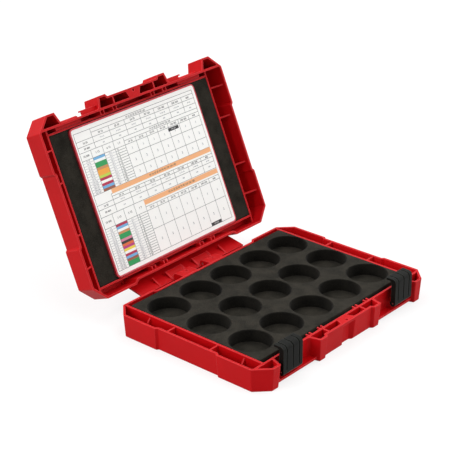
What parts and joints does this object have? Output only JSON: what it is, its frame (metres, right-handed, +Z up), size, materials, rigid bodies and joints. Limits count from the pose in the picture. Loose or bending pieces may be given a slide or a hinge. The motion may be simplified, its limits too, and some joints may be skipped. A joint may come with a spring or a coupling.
{
  "type": "tool case",
  "caption": "Shallow hinged plastic case with a foam tray of round pockets for dies, a printed chart inside its raised lid and draw latches on its front.",
  "frame": {"origin": "centre of the base's plan, without the hinge, on the face it stands on", "axes": "+X along the hinge, +Y towards the hinge, +Z up; the latches face -Y"},
  "size_m": [0.272, 0.3149, 0.2033],
  "materials": {
    "red_plastic": "satin moulded polypropylene",
    "dark_plastic": "satin moulded nylon",
    "dark_foam": "matt closed-cell foam",
    "steel": "bright drawn",
    "red_board": "satin coated board",
    "white_sheet": "coated print"
  },
  "bodies": {
    "base": {"base_shell": "red_plastic", "foam_floor": "dark_foam", "foam_tray": "dark_foam", "left_hinge_pin": "steel", "right_hinge_pin": "steel", "left_latch_pin": "steel", "right_latch_pin": "steel"},
    "lid": {"lid_shell": "red_plastic", "lid_foam": "dark_foam", "chart_board": "red_board", "chart_sheet": "white_sheet"},
    "left_latch": {"left_latch": "dark_plastic"},
    "right_latch": {"right_latch": "dark_plastic"}
  },
  "joints": [
    {"name": "lid_hinge", "type": "hinge", "parent": "base", "child": "lid", "pos_m": [0, 0.10765, 0.0182], "axis": [1, 0, 0], "range_deg": [0, 113.5]},
    {"name": "left_latch_pivot", "type": "hinge", "parent": "base", "child": "left_latch", "pos_m": [-0.0903, -0.09265, 0.012], "axis": [1, 0, 0], "range_deg": [0, 90]},
    {"name": "right_latch_pivot", "type": "hinge", "parent": "base", "child": "right_latch", "pos_m": [0.0903, -0.09265, 0.012], "axis": [1, 0, 0], "range_deg": [0, 90]}
  ]
}
